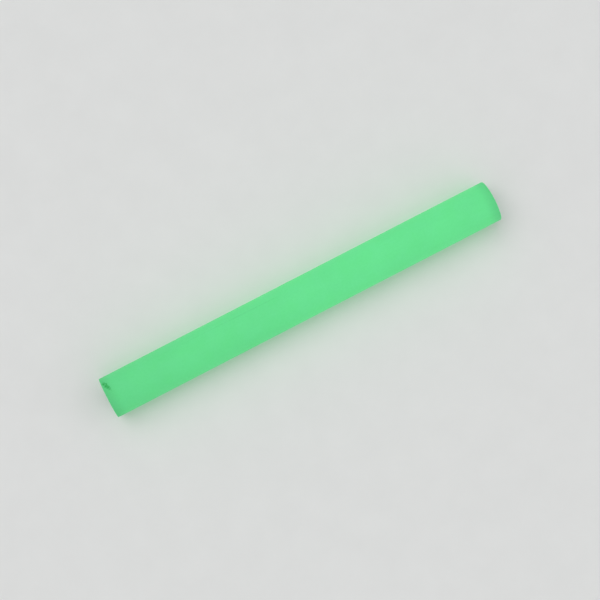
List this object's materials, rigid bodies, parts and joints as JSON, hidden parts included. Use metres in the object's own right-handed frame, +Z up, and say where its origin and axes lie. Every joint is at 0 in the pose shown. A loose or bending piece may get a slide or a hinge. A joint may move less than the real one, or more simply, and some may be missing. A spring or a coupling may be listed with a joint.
{
  "type": "traffic baton light",
  "caption": "Plain round light baton: a lit milky green tube with a screw tail cap, push button, folding hanging ring, battery core and magnetic tip.",
  "frame": {"origin": "middle of the tube's length, on the ground line under the tube as it lies on its side", "axes": "+X along the tube towards the tip, +Z up, the tail cap and its button at -X"},
  "size_m": [0.404, 0.04, 0.04],
  "materials": {
    "diffuser": "satin milky translucent, lit from inside",
    "collar_plastic": "satin translucent",
    "cap_plastic": "satin translucent",
    "button_plastic": "satin",
    "seal_rubber": "matte",
    "nylon_black": "matte",
    "nylon_white": "matte",
    "black_plastic": "matte",
    "stainless_wire": "drawn wire, bright",
    "board": "satin solder mask",
    "brass_ring": "turned",
    "spring_steel": "nickel plated wire",
    "core_metal": "satin anodised",
    "cell_jacket": "printed film on a steel can",
    "contact_brass": "plated",
    "sleeve": "satin",
    "ferrite": "matte",
    "can_metal": "satin",
    "lead_red": "satin",
    "lead_black": "satin",
    "strip_white": "satin white board",
    "led_resin": "clear resin",
    "backing_steel": "zinc plated",
    "magnet_nickel": "nickel plated"
  },
  "bodies": {
    "baton": {"diffuser_tube": "diffuser", "tail_collar": "collar_plastic", "tip_plug": "collar_plastic", "core_tube": "core_metal", "battery_cell_1": "cell_jacket", "battery_cell_2": "cell_jacket", "battery_cell_3": "cell_jacket", "positive_contact": "contact_brass", "battery_stop": "nylon_white", "board_sleeve": "sleeve", "driver_board": "board", "power_transistor": "black_plastic", "controller_chip": "black_plastic", "inductor": "ferrite", "capacitors": "can_metal", "lead_positive": "lead_red", "lead_negative": "lead_black", "end_board": "board", "magnet_backing": "backing_steel", "tip_magnet": "magnet_nickel", "led_strip_1": "strip_white", "leds_1": "led_resin", "resistors_1": "black_plastic", "led_strip_2": "strip_white", "leds_2": "led_resin", "resistors_2": "black_plastic", "led_strip_3": "strip_white", "leds_3": "led_resin", "resistors_3": "black_plastic"},
    "cap_seal": {"cap_seal": "seal_rubber"},
    "tail_cap": {"tail_cap": "cap_plastic", "switch_body": "black_plastic", "switch_board": "board", "retaining_ring": "brass_ring", "battery_spring": "spring_steel"},
    "button": {"push_button": "button_plastic", "button_seal": "seal_rubber", "switch_plunger": "nylon_black"},
    "hanging_ring": {"hanging_ring": "stainless_wire"}
  },
  "joints": [
    {"name": "cap_travel", "type": "slide", "parent": "baton", "child": "cap_seal", "axis": [-1, 0, 0], "range_m": [0, 0.01]},
    {"name": "cap_turn", "type": "hinge", "parent": "cap_seal", "child": "tail_cap", "pos_m": [-0.1962, 0, 0.02], "axis": [-1, 0, 0], "range_deg": [0, 900]},
    {"name": "button_press", "type": "slide", "parent": "tail_cap", "child": "button", "axis": [1, 0, 0], "range_m": [0, 0.0012], "stiffness_N_per_m": 1500, "springref_m": -0.0006},
    {"name": "ring_fold", "type": "hinge", "parent": "tail_cap", "child": "hanging_ring", "pos_m": [-0.1998, 0, 0.02], "axis": [0, 1, 0], "range_deg": [0, 180]}
  ],
  "couplings": [
    {"joint": "cap_travel", "follows": "cap_turn", "m_per_rad": 0.00063662}
  ]
}
